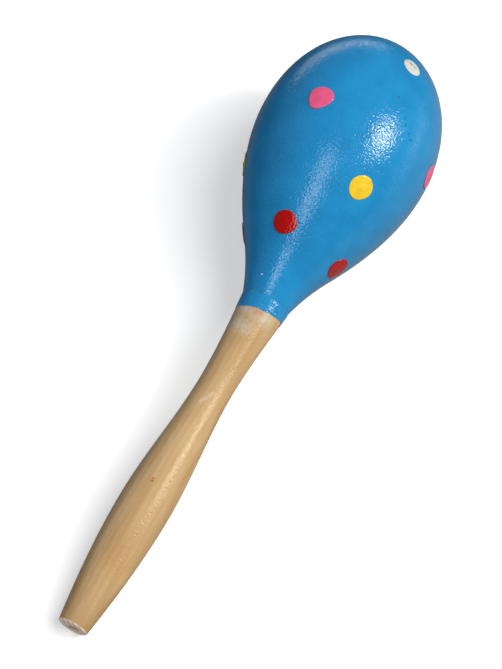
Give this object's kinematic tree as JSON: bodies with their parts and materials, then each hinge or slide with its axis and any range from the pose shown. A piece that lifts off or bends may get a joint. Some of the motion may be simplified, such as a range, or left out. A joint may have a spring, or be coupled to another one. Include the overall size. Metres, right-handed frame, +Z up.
{
  "type": "wooden maraca",
  "caption": "Painted wooden maraca: hollow egg-shaped head with raised dots, loose pellets inside, and a turned handle with a slim waist and flat butt, lying on its side.",
  "frame": {"origin": "on the table, under the middle of the whole box, with the maraca lying on its side", "axes": "+Z up from the table, +Y along the maraca from the handle's butt to the head's crown, X across it"},
  "size_m": [0.065, 0.2384, 0.0648],
  "materials": {
    "blue_enamel": "gloss brushed enamel over turned wood",
    "lacquered_wood": "clear semi-gloss lacquer",
    "red_enamel": "gloss enamel dot",
    "yellow_enamel": "gloss enamel dot",
    "pink_enamel": "gloss enamel dot",
    "white_enamel": "gloss enamel dot",
    "pellet": "matt"
  },
  "bodies": {
    "shell_and_handle": {"head_dome": "blue_enamel", "head_bowl": "blue_enamel", "handle": "lacquered_wood", "dot_red_1": "red_enamel", "dot_red_2": "red_enamel", "dot_red_3": "red_enamel", "dot_red_4": "red_enamel", "dot_yellow_1": "yellow_enamel", "dot_yellow_2": "yellow_enamel", "dot_yellow_3": "yellow_enamel", "dot_pink_1": "pink_enamel", "dot_pink_2": "pink_enamel", "dot_pink_3": "pink_enamel", "dot_pink_4": "pink_enamel", "dot_white_1": "white_enamel", "dot_white_2": "white_enamel", "dot_white_3": "white_enamel"},
    "pellet_01": {"pellet_01": "pellet"},
    "pellet_02": {"pellet_02": "pellet"},
    "pellet_03": {"pellet_03": "pellet"},
    "pellet_04": {"pellet_04": "pellet"},
    "pellet_05": {"pellet_05": "pellet"},
    "pellet_06": {"pellet_06": "pellet"},
    "pellet_07": {"pellet_07": "pellet"},
    "pellet_08": {"pellet_08": "pellet"},
    "pellet_09": {"pellet_09": "pellet"},
    "pellet_10": {"pellet_10": "pellet"},
    "pellet_11": {"pellet_11": "pellet"},
    "pellet_12": {"pellet_12": "pellet"},
    "pellet_13": {"pellet_13": "pellet"},
    "pellet_14": {"pellet_14": "pellet"},
    "pellet_15": {"pellet_15": "pellet"},
    "pellet_16": {"pellet_16": "pellet"},
    "pellet_17": {"pellet_17": "pellet"},
    "pellet_18": {"pellet_18": "pellet"},
    "pellet_19": {"pellet_19": "pellet"}
  },
  "joints": [
    {"name": "throw_01", "type": "slide", "parent": "shell_and_handle", "child": "pellet_01", "axis": [0, 0, 1], "range_m": [0, 0.0433]},
    {"name": "throw_02", "type": "slide", "parent": "shell_and_handle", "child": "pellet_02", "axis": [0, 0, 1], "range_m": [0, 0.0449]},
    {"name": "throw_03", "type": "slide", "parent": "shell_and_handle", "child": "pellet_03", "axis": [0, 0, 1], "range_m": [0, 0.0433]},
    {"name": "throw_04", "type": "slide", "parent": "shell_and_handle", "child": "pellet_04", "axis": [0, 0, 1], "range_m": [0, 0.0437]},
    {"name": "throw_05", "type": "slide", "parent": "shell_and_handle", "child": "pellet_05", "axis": [0, 0, 1], "range_m": [0, 0.0467]},
    {"name": "throw_06", "type": "slide", "parent": "shell_and_handle", "child": "pellet_06", "axis": [0, 0, 1], "range_m": [0, 0.0467]},
    {"name": "throw_07", "type": "slide", "parent": "shell_and_handle", "child": "pellet_07", "axis": [0, 0, 1], "range_m": [0, 0.0437]},
    {"name": "throw_08", "type": "slide", "parent": "shell_and_handle", "child": "pellet_08", "axis": [0, 0, 1], "range_m": [0, 0.0423]},
    {"name": "throw_09", "type": "slide", "parent": "shell_and_handle", "child": "pellet_09", "axis": [0, 0, 1], "range_m": [0, 0.0469]},
    {"name": "throw_10", "type": "slide", "parent": "shell_and_handle", "child": "pellet_10", "axis": [0, 0, 1], "range_m": [0, 0.0483]},
    {"name": "throw_11", "type": "slide", "parent": "shell_and_handle", "child": "pellet_11", "axis": [0, 0, 1], "range_m": [0, 0.0469]},
    {"name": "throw_12", "type": "slide", "parent": "shell_and_handle", "child": "pellet_12", "axis": [0, 0, 1], "range_m": [0, 0.0423]},
    {"name": "throw_13", "type": "slide", "parent": "shell_and_handle", "child": "pellet_13", "axis": [0, 0, 1], "range_m": [0, 0.0454]},
    {"name": "throw_14", "type": "slide", "parent": "shell_and_handle", "child": "pellet_14", "axis": [0, 0, 1], "range_m": [0, 0.0483]},
    {"name": "throw_15", "type": "slide", "parent": "shell_and_handle", "child": "pellet_15", "axis": [0, 0, 1], "range_m": [0, 0.0483]},
    {"name": "throw_16", "type": "slide", "parent": "shell_and_handle", "child": "pellet_16", "axis": [0, 0, 1], "range_m": [0, 0.0454]},
    {"name": "throw_17", "type": "slide", "parent": "shell_and_handle", "child": "pellet_17", "axis": [0, 0, 1], "range_m": [0, 0.0467]},
    {"name": "throw_18", "type": "slide", "parent": "shell_and_handle", "child": "pellet_18", "axis": [0, 0, 1], "range_m": [0, 0.0481]},
    {"name": "throw_19", "type": "slide", "parent": "shell_and_handle", "child": "pellet_19", "axis": [0, 0, 1], "range_m": [0, 0.0467]}
  ]
}
